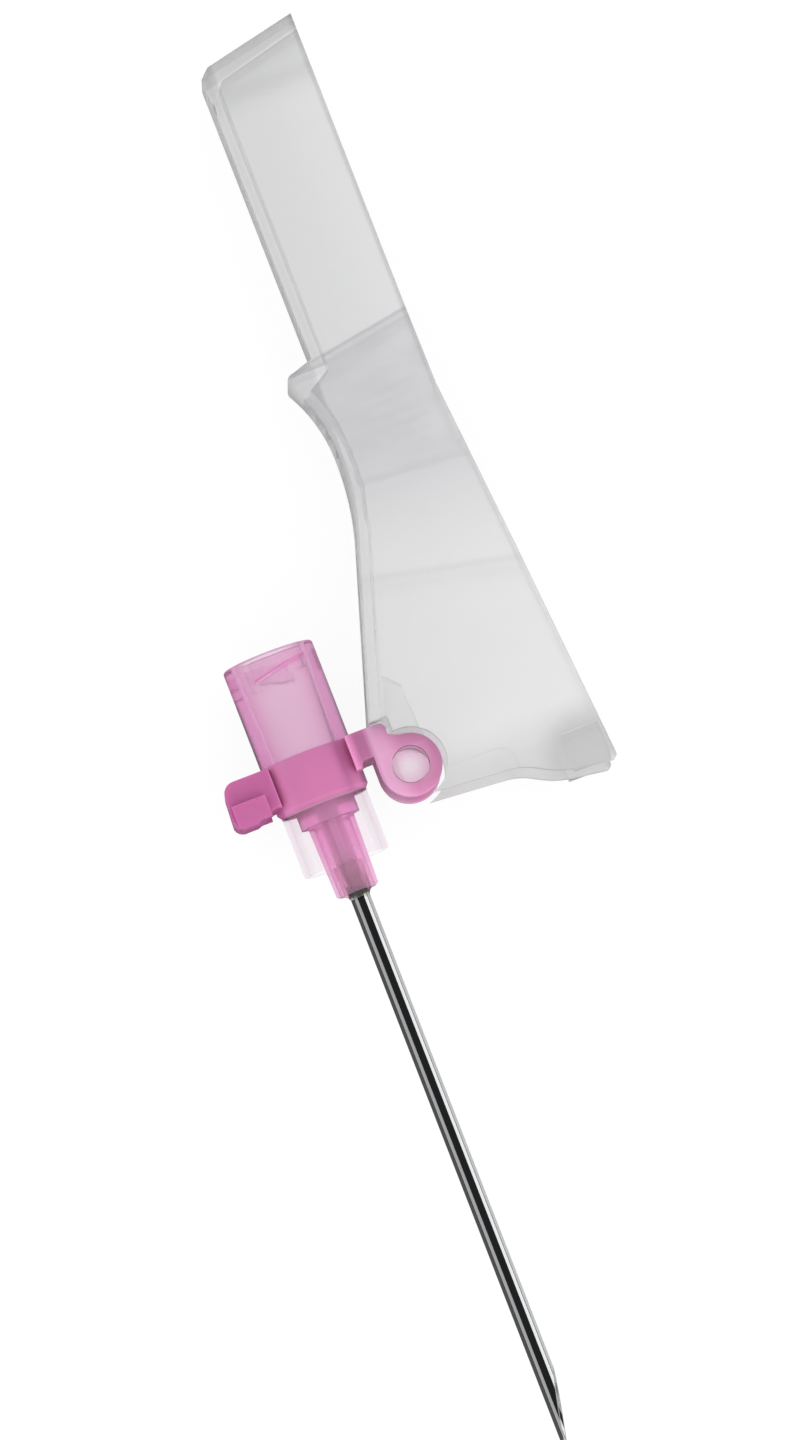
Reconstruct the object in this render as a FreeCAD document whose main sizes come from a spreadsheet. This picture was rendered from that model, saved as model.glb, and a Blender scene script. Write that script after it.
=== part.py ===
import FreeCAD, Part
import math
import os
import Sketcher

# Safety hypodermic needle, 18 gauge, one and a half inches, with a swing-over shield.
# +X runs along the needle to its point, +Y to the side that carries the hinge, +Z out of
# the flat side of the shield. The origin is the centre of the luer socket's mouth.

os.makedirs("parts", exist_ok=True)
doc = FreeCAD.newDocument("safety_needle")

# Sizes in millimetres and degrees, each written once
sizes = {
    # luer socket and barrel of the hub
    "socket_mouth_radius": 2.15,
    "socket_depth": 8.3,
    "socket_floor_radius": 1.901,
    "funnel_length": 0.9,
    "barrel_radius": 3.0,
    "rim_round": 0.2,
    # seat of the collar, retaining flange and stem of the hub
    "collar_rear": 6.73,
    "seat_radius": 2.36,
    "collar_front": 10.0,
    "flange_radius": 1.95,
    "flange_front": 11.2,
    "stem_radius": 1.2,
    "stem_rib_rear": 1.53,
    "stem_rib_front": 1.39,
    "stem_rib_half": 0.28,
    "nose": 16.0,
    "glue_well_depth": 1.9,
    "glue_well_radius": 0.95,
    # luer lock lugs
    "lug_radius": 3.9,
    "lug_rear": 0.4,
    "lug_low": -1.4,
    "lug_high": 2.0,
    "lug_thick": 1.7,
    "lug_thin": 0.9,
    # steel cannula
    "cannula_radius": 0.635,
    "cannula_bore": 0.42,
    "cannula_rear": 9.6,
    "cannula_point": 54.1,
    "bevel_length": 5.9,
    "bevel_turn": 13.0,
    "lancet_length": 2.9,
    "lancet_turn": 38.0,
    "meniscus": 0.55,
    # collar
    "collar_bore": 2.38,
    "band_radius": 3.06,
    "band_lead": 0.25,
    "skirt_radius": 2.85,
    "skirt_bore": 2.5,
    "skirt_front": 14.07,
    "skirt_lead": 0.12,
    "web_rear": 6.75,
    "web_front": 8.6,
    "web_root": 2.6,
    "web_top": 3.9,
    "web_fillet": 0.4,
    # hinge: two ears on the collar, one bar on the shield
    "hinge_along": 9.9,
    "hinge_out": 5.87,
    "ear_radius": 2.0,
    "ear_hole": 1.2,
    "bar_radius": 1.14,
    "ear_inner": 2.0,
    "ear_outer": 3.0,
    "stop_front": 7.6,
    "stop_top": 5.22,
    "stop_round": 0.45,
    # locking arm
    "arm_root": -2.6,
    "arm_end": -5.86,
    "arm_rear": 6.85,
    "arm_front": 9.86,
    "arm_half": 2.4,
    "arm_round": 0.8,
    "ledge_rear": 8.36,
    "ledge_flat": 0.25,
    "ledge_clearance": 0.35,
    # shield, seen from the side
    "tip_mouth_along": -37.58,
    "tip_back_along": -36.1,
    "channel_back": 9.27,
    "mouth_line": 16.1,
    "shoulder_along": -16.4,
    "nose_along": -15.95,
    "nose_out": 7.9,
    "nose_front": -15.2,
    "nose_low": 7.42,
    "nose_round": 0.55,
    "pad_crest_along": -10.0,
    "pad_crest_out": 8.7,
    "pad_rear_round": 9.7,
    "pad_front_round": 17.9,
    "pad_end_along": -4.4,
    "pad_end_out": 7.75,
    "back_end_along": 6.58,
    "back_end_out": 4.26,
    "rear_low_along": 12.1,
    "rear_low_out": 6.2,
    "rear_bend_along": 12.5,
    "rear_bend_out": 11.3,
    "rear_turn_along": 13.15,
    "rear_turn_out": 13.35,
    "rear_turn_round": 4.2,
    "rear_top_along": 13.95,
    "rear_top_out": 15.6,
    "rear_corner_along": 14.26,
    "rear_corner_out": 17.75,
    "corner_along": 13.95,
    "corner_out": 18.1,
    "corner_round": 0.4,
    "mouth_bend_along": -12.0,
    # shield, seen from above: half widths and the fold lines between them
    "wide_half": 4.1,
    "first_flare": 1.15,
    "second_flare": 0.55,
    "wall": 0.8,
    "back_wall": 0.88,
    "end_wall": 0.9,
    "plan_low": 3.0,
    "plan_high": 19.0,
    "fold_one_low": -15.17,
    "fold_one_high": -17.91,
    "fold_two_low": -10.28,
    "fold_two_high": -6.64,
    "fold_three_low": -3.51,
    "fold_three_high": 0.21,
    "tip_block": 0.25,
    "tip_block_along": -34.1,
    "plan_rear": -40.0,
    "plan_front": 16.0,
    # shield, details
    "ear_clearance": 0.3,
    "edge_round": 0.4,
    "knuckle_radius": 1.62,
    "knuckle_half": 1.75,
    "neck_root_along": 3.4,
    "groove_depth": 0.35,
    "groove_half": 0.28,
    "groove_reach": 1.9,
    "groove_step": 6.6,
    "catch_rear": 11.56,
    "catch_flat": 0.7,
    "catch_front": 14.1,
    "catch_low": 15.2,
    "catch_high": 17.7,
    "catch_height": 0.62,
    "rebate_along": 10.95,
    "rebate_top": 12.1,
    "rebate_round": 1.0,
    "rebate_depth": 0.3,
}

sheet = doc.addObject("Spreadsheet::Sheet", "Sizes")
for row, (name, size) in enumerate(sizes.items(), start=1):
    sheet.set("A%d" % row, name)
    sheet.set("B%d" % row, str(size))
    sheet.setAlias("B%d" % row, name)
doc.recompute()


def figure(text):
    """The number that a sum or difference of named sizes comes to."""
    total = 0.0
    sign = 1.0
    for word in text.split():
        if word in ("+", "-"):
            sign = 1.0 if word == "+" else -1.0
        else:
            total += sign * (sizes[word] if word in sizes else float(word))
            sign = 1.0
    return total


def formula(text):
    """The same sum or difference, as the sheet names it."""
    return " ".join("Sizes." + word if word in sizes else word for word in text.split())


def opposite(text):
    """The same sum or difference with every sign turned round."""
    words = text.split() if text.startswith("- ") else ["+"] + text.split()
    return " ".join({"+": "-", "-": "+"}.get(word, word) for word in words)


def new_body(label):
    body = doc.addObject("PartDesign::Body", label)
    body.Label = label
    return body


def new_sketch(body, name, plane, offset=None):
    """A sketch on one of the body's own origin planes; offset is a text for the shift along its normal."""
    sketch = body.newObject("Sketcher::SketchObject", name)
    face = next(part for part in body.Origin.OriginFeatures if part.Role == plane)
    sketch.AttachmentSupport = [(face, "")]
    sketch.MapMode = "FlatFace"
    if offset:
        sketch.setExpression("AttachmentOffset.Base.z", formula(offset))
    return sketch


def bind(sketch, kind, *where, size):
    number = sketch.addConstraint(Sketcher.Constraint(kind, *where, figure(size)))
    sketch.setExpression("Constraints[%d]" % number, formula(size))


def outline(sketch, points):
    """A closed outline. Each point is (along, out); a third text makes the edge that leaves it an arc,
    with its centre on the left, or on the right where the text starts with "right"."""
    places = [FreeCAD.Vector(figure(p[0]), figure(p[1]), 0) for p in points]
    ends = []
    for number, point in enumerate(points):
        start = places[number]
        stop = places[(number + 1) % len(points)]
        if len(point) == 2:
            edge = sketch.addGeometry(Part.LineSegment(start, stop))
            ends.append((edge, 1, 2, None))
            continue
        words = point[2].split()
        left = words[0] != "right"
        round_size = " ".join(words if left else words[1:])
        radius = figure(round_size)
        chord = stop - start
        rise = math.sqrt(max(radius**2 - (chord.Length / 2) ** 2, 0))
        side = FreeCAD.Vector(-chord.y, chord.x, 0).normalize() * (rise if left else -rise)
        centre = (start + stop) * 0.5 + side
        first, last = (start, stop) if left else (stop, start)
        angles = [math.atan2(p.y - centre.y, p.x - centre.x) for p in (first, last)]
        circle = Part.Circle(centre, FreeCAD.Vector(0, 0, 1), radius)
        edge = sketch.addGeometry(Part.ArcOfCircle(circle, angles[0], angles[1]))
        ends.append((edge, 1, 2, round_size) if left else (edge, 2, 1, round_size))
    for number, (edge, start, stop, round_size) in enumerate(ends):
        following = ends[(number + 1) % len(ends)]
        sketch.addConstraint(Sketcher.Constraint("Coincident", edge, stop, following[0], following[1]))
    for point, (edge, start, stop, round_size) in zip(points, ends):
        bind(sketch, "DistanceX", edge, start, size=point[0])
        bind(sketch, "DistanceY", edge, start, size=point[1])
        if round_size:
            bind(sketch, "Radius", edge, size=round_size)


def circle(sketch, along, out, radius):
    spot = FreeCAD.Vector(figure(along), figure(out), 0)
    edge = sketch.addGeometry(Part.Circle(spot, FreeCAD.Vector(0, 0, 1), figure(radius)))
    bind(sketch, "DistanceX", edge, 3, size=along)
    bind(sketch, "DistanceY", edge, 3, size=out)
    bind(sketch, "Radius", edge, size=radius)


def revolve(body, name, sketch):
    feature = body.newObject("PartDesign::Revolution", name)
    feature.Profile = sketch
    feature.ReferenceAxis = (sketch, ["H_Axis"])
    feature.Angle = 360
    return feature


def pad(body, name, sketch, length, both_ways=True, backwards=False):
    """A pad of the sketch: length each way from its plane, or all on one side."""
    feature = body.newObject("PartDesign::Pad", name)
    feature.Profile = sketch
    feature.SideType = "Symmetric" if both_ways else "One side"
    feature.Reversed = backwards
    feature.setExpression("Length", ("2 * (%s)" if both_ways else "%s") % formula(length))
    return feature


def pocket(body, name, sketch, length, both_ways=True, backwards=False):
    feature = body.newObject("PartDesign::Pocket", name)
    feature.Profile = sketch
    feature.SideType = "Symmetric" if both_ways else "One side"
    feature.Reversed = backwards
    feature.setExpression("Length", ("2 * (%s)" if both_ways else "%s") % formula(length))
    return feature


def mirror(body, name, originals, plane="XY_Plane"):
    feature = body.newObject("PartDesign::Mirrored", name)
    feature.Originals = originals
    face = next(part for part in body.Origin.OriginFeatures if part.Role == plane)
    feature.MirrorPlane = (face, [""])
    body.Tip = feature
    return feature


# Hub: one moulding in pink polypropylene, turned about the needle's axis
hub = new_body("hub")
sketch = new_sketch(hub, "hub_profile", "XY_Plane")
outline(sketch, [
    ("0", "socket_mouth_radius"),
    ("socket_depth", "socket_floor_radius"),
    ("socket_depth + funnel_length", "cannula_radius"),
    ("nose - glue_well_depth", "cannula_radius"),
    ("nose - glue_well_depth", "glue_well_radius"),
    ("nose", "glue_well_radius"),
    ("nose", "stem_radius"),
    ("flange_front", "stem_radius"),
    ("flange_front", "flange_radius"),
    ("collar_front", "flange_radius"),
    ("collar_front", "seat_radius"),
    ("collar_rear", "seat_radius"),
    ("collar_rear", "barrel_radius"),
    ("rim_round", "barrel_radius", "rim_round"),
    ("0", "barrel_radius - rim_round"),
])
revolve(hub, "turned_form", sketch)

# four ribs along the stem, which grip the needle cap
sketch = new_sketch(hub, "rib_outline", "XY_Plane")
outline(sketch, [
    ("flange_front - 0.3", "glue_well_radius + 0.1"),
    ("nose - 0.3", "glue_well_radius + 0.1"),
    ("nose", "stem_radius"),
    ("nose - 0.15", "stem_rib_front"),
    ("flange_front - 0.3", "stem_rib_rear"),
])
rib = pad(hub, "stem_rib", sketch, "stem_rib_half")
ribs = hub.newObject("PartDesign::PolarPattern", "stem_ribs")
ribs.Originals = [rib]
ribs.Axis = (next(part for part in hub.Origin.OriginFeatures if part.Role == "X_Axis"), [""])
ribs.Angle = 360
ribs.Occurrences = 4
hub.Tip = ribs

# two luer lock lugs with a slanted underside, as one start of the thread each
sketch = new_sketch(hub, "lug_outline", "YZ_Plane", "lug_rear")
outline(sketch, [
    ("lug_low", "barrel_radius - 0.6"),
    ("lug_high", "barrel_radius - 0.75"),
    ("lug_high", "lug_radius - 0.55", "lug_radius"),
    ("lug_low", "lug_radius - 0.26"),
])
lug = pad(hub, "lug", sketch, "lug_thick - lug_rear", both_ways=False)
sketch = new_sketch(hub, "lug_slant", "XY_Plane", "barrel_radius + 0.02")
outline(sketch, [
    ("lug_thick", "lug_low - 0.02"),
    ("lug_thick + 0.5", "lug_low - 0.02"),
    ("lug_thick + 0.5", "lug_high + 0.02"),
    ("lug_thin", "lug_high + 0.02"),
])
slant = pocket(hub, "lug_underside", sketch, "lug_radius - barrel_radius", both_ways=False, backwards=True)
turned = hub.newObject("PartDesign::PolarPattern", "both_lugs")
turned.Originals = [lug, slant]
turned.Axis = (next(part for part in hub.Origin.OriginFeatures if part.Role == "X_Axis"), [""])
turned.Angle = 360
turned.Occurrences = 2
hub.Tip = turned

# Cannula: drawn steel tube, ground to a bevel that faces the shield's side and a little upward
cannula = new_body("cannula")
sketch = new_sketch(cannula, "tube_section", "YZ_Plane", "cannula_rear")
circle(sketch, "0", "0", "cannula_radius")
circle(sketch, "0", "0", "cannula_bore")
pad(cannula, "tube", sketch, "cannula_point - cannula_rear", both_ways=False)
bevel_place = FreeCAD.Placement(FreeCAD.Vector(0, 0, 0), FreeCAD.Rotation(FreeCAD.Vector(1, 0, 0), 10))
sketch = new_sketch(cannula, "bevel_cut", "XY_Plane")
sketch.AttachmentOffset = bevel_place
sketch.setExpression("AttachmentOffset.Rotation.Angle", "Sizes.bevel_turn")
outline(sketch, [
    ("cannula_point", "- cannula_radius"),
    ("cannula_point + 1", "- cannula_radius"),
    ("cannula_point + 1", "cannula_radius + 0.2"),
    ("cannula_point - bevel_length", "cannula_radius + 0.2"),
    ("cannula_point - bevel_length", "cannula_radius"),
])
bevel = pocket(cannula, "bevel", sketch, "cannula_radius + 0.1")
cannula.Tip = bevel
for turn_name, turn_sign in (("lancet_left", "+"), ("lancet_right", "-")):
    sketch = new_sketch(cannula, turn_name + "_cut", "XY_Plane")
    sketch.AttachmentOffset = bevel_place
    sketch.setExpression(
        "AttachmentOffset.Rotation.Angle", "Sizes.bevel_turn %s Sizes.lancet_turn" % turn_sign
    )
    outline(sketch, [
        ("cannula_point", "- cannula_radius + 0.06"),
        ("cannula_point + 1", "- cannula_radius + 0.06"),
        ("cannula_point + 1", "cannula_radius + 0.3"),
        ("cannula_point - lancet_length", "cannula_radius + 0.3"),
    ])
    cannula.Tip = pocket(cannula, turn_name, sketch, "cannula_radius + 0.2")

# Adhesive: epoxy that fills the well round the cannula and stands up as a small meniscus
adhesive = new_body("adhesive_bead")
sketch = new_sketch(adhesive, "bead_profile", "XY_Plane")
outline(sketch, [
    ("nose - glue_well_depth", "cannula_radius"),
    ("nose + meniscus", "cannula_radius", "right meniscus"),
    ("nose + 0.05", "glue_well_radius"),
    ("nose - glue_well_depth", "glue_well_radius"),
])
revolve(adhesive, "bead", sketch)

# Collar: one moulding with band, front skirt, hinge ears with stops, and locking arm
collar = new_body("hinge_collar")
sketch = new_sketch(collar, "band_profile", "XY_Plane")
outline(sketch, [
    ("collar_rear + 0.02", "collar_bore"),
    ("collar_front + 0.02", "collar_bore"),
    ("collar_front + 0.02", "skirt_bore"),
    ("skirt_front", "skirt_bore"),
    ("skirt_front", "skirt_radius - skirt_lead"),
    ("skirt_front - skirt_lead", "skirt_radius"),
    ("collar_front + 0.02", "skirt_radius"),
    ("collar_front - band_lead", "band_radius"),
    ("collar_rear + 0.02", "band_radius"),
])
revolve(collar, "band_and_skirt", sketch)

sketch = new_sketch(collar, "web_outline", "XY_Plane")
outline(sketch, [
    ("web_rear", "web_root"),
    ("web_front + web_fillet", "web_root"),
    ("web_front + web_fillet", "web_root + web_fillet", "right web_fillet"),
    ("web_front", "web_root + web_fillet + web_fillet"),
    ("web_front", "web_top"),
    ("web_rear", "web_top"),
])
pad(collar, "cross_web", sketch, "ear_outer")

sketch = new_sketch(collar, "ear_outline", "XY_Plane", "ear_inner")
outline(sketch, [
    ("web_rear", "web_top - 0.02"),
    ("hinge_along", "hinge_out - ear_radius", "ear_radius"),
    ("hinge_along + ear_radius", "hinge_out", "ear_radius"),
    ("hinge_along", "hinge_out + ear_radius", "ear_radius"),
    ("hinge_along - ear_radius", "hinge_out"),
    ("stop_front", "stop_top"),
    ("web_rear + stop_round", "stop_top", "stop_round"),
    ("web_rear", "stop_top - stop_round"),
])
ear = pad(collar, "ear", sketch, "ear_outer - ear_inner", both_ways=False)
sketch = new_sketch(collar, "ear_eye", "XY_Plane", "ear_inner")
circle(sketch, "hinge_along", "hinge_out", "ear_hole")
eye = pocket(collar, "eye", sketch, "ear_outer - ear_inner + 0.1", both_ways=False, backwards=True)
mirror(collar, "both_ears", [ear, eye])

sketch = new_sketch(collar, "arm_outline", "XY_Plane")
outline(sketch, [
    ("arm_rear", "arm_root"),
    ("arm_rear", "arm_end + 0.1 + arm_round", "arm_round"),
    ("arm_rear + arm_round", "arm_end + 0.1"),
    ("arm_front - 0.5", "arm_end", "0.7"),
    ("arm_front", "arm_end + 0.8"),
    ("arm_front", "arm_end + 1.5"),
    ("arm_front - 0.4", "arm_root - 0.7", "right 0.9"),
    ("arm_front - 0.4", "arm_root"),
])
pad(collar, "locking_arm", sketch, "arm_half")

# a ledge on each side of the arm, ramped to the front, which the shield's catches snap over
sketch = new_sketch(collar, "ledge_section", "XZ_Plane", "- arm_root + 0.75")
outline(sketch, [
    ("ledge_rear", "arm_half - 0.2"),
    ("arm_front - 0.1", "arm_half - 0.2"),
    ("arm_front - 0.1", "arm_half"),
    ("ledge_rear + ledge_flat", "wide_half - wall - ledge_clearance"),
    ("ledge_rear", "wide_half - wall - ledge_clearance"),
])
ledge = pad(collar, "catch_ledge", sketch, "arm_root - arm_end - 1.0", both_ways=False)
mirror(collar, "both_ledges", [ledge])

# Shield, outer form: the plan of the housing, trimmed to its side outline
housing = new_body("shield_housing")


def plan_sketch(body, name, level, fold_ends, halves, ends, step=None):
    """Half widths of the channel along the part at one level, from the closed tip to the open rear."""
    sketch = new_sketch(body, name, "XZ_Plane", "- " + level)
    side = [(ends[0], halves[0])]
    if step:
        side = [(ends[0], halves[0] + " - " + step[1]), (step[0], halves[0] + " - " + step[1])]
        side.append((step[0] + " + 0.15", halves[0]))
    side += [(fold_ends[0], halves[0]), (fold_ends[1], halves[1])]
    side += [(fold_ends[2], halves[2]), (ends[1], halves[2])]
    outline(sketch, [(along, opposite(half)) for along, half in side] + side[::-1])
    return sketch


low_folds = ("fold_one_low", "fold_two_low", "fold_three_low")
high_folds = ("fold_one_high", "fold_two_high", "fold_three_high")
outer_halves = ("wide_half - second_flare - first_flare", "wide_half - second_flare", "wide_half + 0.03")
inner_halves = tuple(half + " - wall" for half in outer_halves[:2]) + ("wide_half - wall",)
outer_ends = ("plan_rear", "plan_front")
low = plan_sketch(housing, "plan_low_outer", "plan_low", low_folds, outer_halves, outer_ends)
high = plan_sketch(housing, "plan_high_outer", "plan_high", high_folds, outer_halves, outer_ends)
loft = housing.newObject("PartDesign::AdditiveLoft", "flared_block")
loft.Profile = low
loft.Sections = [high]
loft.Ruled = True

sketch = new_sketch(housing, "side_outline", "XY_Plane")
outline(sketch, [
    ("plan_rear - 1", "plan_low - 1"),
    ("plan_front + 1", "plan_low - 1"),
    ("plan_front + 1", "plan_high + 1"),
    ("plan_rear - 1", "plan_high + 1"),
])
outline(sketch, [
    ("tip_mouth_along", "mouth_line"),
    ("tip_back_along - 0.1", "channel_back + 0.65"),
    ("tip_back_along + 0.5", "channel_back"),
    ("shoulder_along", "channel_back"),
    ("nose_along", "nose_out", "nose_round"),
    ("nose_front", "nose_low", "right pad_rear_round"),
    ("pad_crest_along", "pad_crest_out", "right pad_front_round"),
    ("pad_end_along", "pad_end_out"),
    ("back_end_along", "back_end_out"),
    ("back_end_along", "stop_top + ear_clearance"),
    ("hinge_along", "stop_top + ear_clearance"),
    ("rear_low_along", "rear_low_out"),
    ("rear_bend_along", "rear_bend_out", "right rear_turn_round"),
    ("rear_turn_along", "rear_turn_out", "rear_turn_round + 2"),
    ("rear_top_along", "rear_top_out"),
    ("rear_corner_along", "rear_corner_out", "corner_round"),
    ("corner_along", "corner_out"),
    ("mouth_bend_along", "mouth_line"),
])
pocket(housing, "side_trim", sketch, "wide_half + 1")
# the rear walls are flat and parallel
sketch = new_sketch(housing, "flat_sides", "YZ_Plane")
outline(sketch, [
    ("plan_low - 1", "- wide_half - 1"),
    ("plan_high + 1", "- wide_half - 1"),
    ("plan_high + 1", "wide_half + 1"),
    ("plan_low - 1", "wide_half + 1"),
])
outline(sketch, [
    ("plan_low - 0.5", "- wide_half"),
    ("plan_high + 0.5", "- wide_half"),
    ("plan_high + 0.5", "wide_half"),
    ("plan_low - 0.5", "wide_half"),
])
pocket(housing, "side_flats", sketch, "plan_front - plan_rear")
sketch = new_sketch(housing, "ear_relief", "XY_Plane")
circle(sketch, "hinge_along", "hinge_out", "ear_radius + ear_clearance")
relief = pocket(housing, "relief", sketch, "wide_half + 1")
housing.Tip = relief
doc.recompute()

# the long edges between the back and the side walls are rounded, from the tip to the pad's nose and
# from there to the hinge
long_edges = []
for number, edge in enumerate(relief.Shape.Edges, start=1):
    ends = [vertex.Point for vertex in edge.Vertexes]
    shift = ends[0] - ends[-1]
    on_back = all(p.y < figure("channel_back + 0.05") for p in ends)
    on_back = on_back and all(p.x < figure("back_end_along + 0.05") for p in ends)
    at_nose = any(figure("shoulder_along + 0.05") < p.x < figure("nose_front - 0.05") for p in ends)
    lengthwise = abs(shift.x) > abs(shift.y) + abs(shift.z)
    if on_back and lengthwise and not at_nose:
        long_edges.append("Edge%d" % number)
rounded = housing.newObject("PartDesign::Fillet", "back_edges")
rounded.Base = (relief, long_edges)
rounded.setExpression("Radius", "Sizes.edge_round")
housing.Tip = rounded

# grip grooves across the finger pad, set out round the centre of its curve
sketch = new_sketch(housing, "groove_section", "XY_Plane")
sketch.setExpression("AttachmentOffset.Base.x", "Sizes.pad_crest_along")
sketch.setExpression("AttachmentOffset.Base.y", "Sizes.pad_crest_out - Sizes.pad_rear_round")
outline(sketch, [
    ("- groove_half - 0.1", "pad_rear_round - 0.4"),
    ("groove_half + 0.1", "pad_rear_round - 0.4"),
    ("groove_half", "pad_rear_round + groove_depth"),
    ("- groove_half", "pad_rear_round + groove_depth"),
])
groove = pocket(housing, "groove", sketch, "groove_reach")
housing.Tip = groove
left_grooves = housing.newObject("PartDesign::PolarPattern", "grip_grooves")
left_grooves.Originals = [groove]
left_grooves.Axis = (sketch, ["N_Axis"])
left_grooves.Mode = "Spacing"
left_grooves.setExpression("Offset", "Sizes.groove_step")
left_grooves.Occurrences = 4
housing.Tip = left_grooves

# Shield, core: what the mould's core leaves open, the channel for the needle
core = new_body("shield_core")
low = plan_sketch(core, "plan_low_inner", "plan_low", low_folds, inner_halves,
                  ("plan_rear", "plan_front"), ("tip_block_along", "tip_block"))
high = plan_sketch(core, "plan_high_inner", "plan_high", high_folds, inner_halves,
                   ("plan_rear", "plan_front"), ("tip_block_along", "tip_block"))
loft = core.newObject("PartDesign::AdditiveLoft", "core_block")
loft.Profile = low
loft.Sections = [high]
loft.Ruled = True
sketch = new_sketch(core, "core_outline", "XY_Plane")
outline(sketch, [
    ("plan_rear - 1", "plan_low - 1"),
    ("plan_front + 1", "plan_low - 1"),
    ("plan_front + 1", "plan_high + 1"),
    ("plan_rear - 1", "plan_high + 1"),
])
outline(sketch, [
    ("tip_mouth_along + end_wall - 0.55", "mouth_line + 2.4"),
    ("tip_back_along + end_wall + 0.0", "channel_back + back_wall + 0.4"),
    ("tip_back_along + end_wall + 0.5", "channel_back + back_wall"),
    ("shoulder_along + back_wall", "channel_back + back_wall"),
    ("nose_along + 1.4", "nose_low + back_wall + 0.3", "right pad_rear_round + back_wall"),
    ("pad_crest_along", "pad_crest_out + back_wall", "right pad_front_round + back_wall"),
    ("pad_end_along + 0.27", "pad_end_out + back_wall - 0.04"),
    ("back_end_along + 0.27", "back_end_out + back_wall - 0.04"),
    ("back_end_along + 6", "plan_low + 0.2"),
    ("plan_front - 0.2", "plan_low + 0.2"),
    ("plan_front - 0.2", "mouth_line + 2.4"),
])
pocket(core, "core_trim", sketch, "wide_half + 1")
# the walls are thinner beside the ears, up to a step with a rounded corner
sketch = new_sketch(core, "rebate_outline", "XY_Plane")
outline(sketch, [
    ("rebate_along", "plan_low + 0.5"),
    ("plan_front - 0.5", "plan_low + 0.5"),
    ("plan_front - 0.5", "rebate_top"),
    ("rebate_along + rebate_round", "rebate_top", "rebate_round"),
    ("rebate_along", "rebate_top - rebate_round"),
])
rebate = pad(core, "rebate", sketch, "wide_half - wall + rebate_depth")
core.Tip = rebate

channel = doc.addObject("Part::Cut", "channel")
channel.Base = housing
channel.Tool = core

# Shield, knuckle: the hinge bar, its eye between the ears and the neck to the back wall
knuckle = new_body("shield_knuckle")
sketch = new_sketch(knuckle, "bar_section", "XY_Plane")
circle(sketch, "hinge_along", "hinge_out", "bar_radius")
pad(knuckle, "bar", sketch, "ear_outer")
sketch = new_sketch(knuckle, "eye_section", "XY_Plane")
circle(sketch, "hinge_along", "hinge_out", "knuckle_radius")
pad(knuckle, "eye", sketch, "knuckle_half")
sketch = new_sketch(knuckle, "neck_outline", "XY_Plane")
outline(sketch, [
    ("neck_root_along", "back_end_out + 1.1"),
    ("back_end_along - 0.06", "back_end_out + 0.1"),
    ("hinge_along", "hinge_out - knuckle_radius"),
    ("hinge_along", "hinge_out + knuckle_radius"),
    ("neck_root_along + 1.4", "back_end_out + 2.9"),
    ("neck_root_along", "back_end_out + 1.6"),
])
neck = pad(knuckle, "neck", sketch, "knuckle_half")
knuckle.Tip = neck

# Shield, catches: a ramped barb inside each rear corner, which snaps behind the locking arm
catches = new_body("shield_catches")
sketch = new_sketch(catches, "catch_section", "XZ_Plane", "- catch_low")
outline(sketch, [
    ("catch_rear", "wide_half - wall - catch_height"),
    ("catch_rear + catch_flat", "wide_half - wall - catch_height"),
    ("catch_front", "wide_half - wall"),
    ("catch_front", "wide_half - wall + 0.3"),
    ("catch_rear", "wide_half - wall + 0.3"),
])
catch = pad(catches, "catch", sketch, "catch_high - catch_low", both_ways=False, backwards=True)
mirror(catches, "both_catches", [catch])

doc.recompute()

shield = doc.addObject("Part::MultiFuse", "shield")
shield.Shapes = [channel, knuckle, catches]
shield.Refine = True
shield.Label = "shield"
doc.recompute()

# Every piece is checked before it is written
for item in doc.Objects:
    if "Invalid" in item.State or "Error" in item.State:
        raise RuntimeError("%s is %s" % (item.Name, item.State))
for piece in (hub, cannula, adhesive, collar, shield):
    shape = piece.Shape
    if shape.isNull() or not shape.isValid() or len(shape.Solids) != 1:
        raise RuntimeError("%s has no single valid solid (%d)" % (piece.Label, len(shape.Solids)))
    shape.exportStep("parts/%s.step" % piece.Label)
    print(piece.Label, "%.2f mm3" % shape.Volume, [round(v, 2) for v in (
        shape.BoundBox.XMin, shape.BoundBox.XMax, shape.BoundBox.YMin,
        shape.BoundBox.YMax, shape.BoundBox.ZMin, shape.BoundBox.ZMax)])
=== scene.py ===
import bpy
import math
from mathutils import Matrix, Vector


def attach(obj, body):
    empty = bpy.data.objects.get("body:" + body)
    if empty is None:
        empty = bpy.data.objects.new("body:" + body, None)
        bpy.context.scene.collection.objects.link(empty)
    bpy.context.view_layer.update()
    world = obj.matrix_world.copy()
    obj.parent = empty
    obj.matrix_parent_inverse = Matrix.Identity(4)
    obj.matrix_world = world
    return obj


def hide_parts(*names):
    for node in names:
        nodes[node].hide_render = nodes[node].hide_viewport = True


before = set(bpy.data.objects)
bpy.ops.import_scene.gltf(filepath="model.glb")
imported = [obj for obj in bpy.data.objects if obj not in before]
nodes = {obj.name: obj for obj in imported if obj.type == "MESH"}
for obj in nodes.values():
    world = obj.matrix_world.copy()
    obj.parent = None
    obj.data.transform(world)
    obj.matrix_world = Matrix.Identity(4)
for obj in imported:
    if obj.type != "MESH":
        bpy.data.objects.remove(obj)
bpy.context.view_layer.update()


# Hub
# One injection moulding in clear pink polypropylene, with the luer socket and the tube showing in it.
# Its mould is spark-eroded, so it is satin. The far wall and edges seen at a slant get deeper pink as
# painted shade, and the lock lug's edge gets a deeper pink line as a painted shadow.
# The skin group gives every moulding here its fine grain and a slow change of gloss.
skin = bpy.data.node_groups.new("moulded skin", "ShaderNodeTree")
skin.interface.new_socket("Gloss", in_out="OUTPUT", socket_type="NodeSocketFloat")
skin.interface.new_socket("Normal", in_out="OUTPUT", socket_type="NodeSocketVector")
put_out = skin.nodes.new("NodeGroupOutput")
place = skin.nodes.new("ShaderNodeTexCoord")
grain = skin.nodes.new("ShaderNodeTexNoise")
grain.inputs["Scale"].default_value = 3500.0
grain.inputs["Detail"].default_value = 2.0
slow = skin.nodes.new("ShaderNodeTexNoise")
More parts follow.
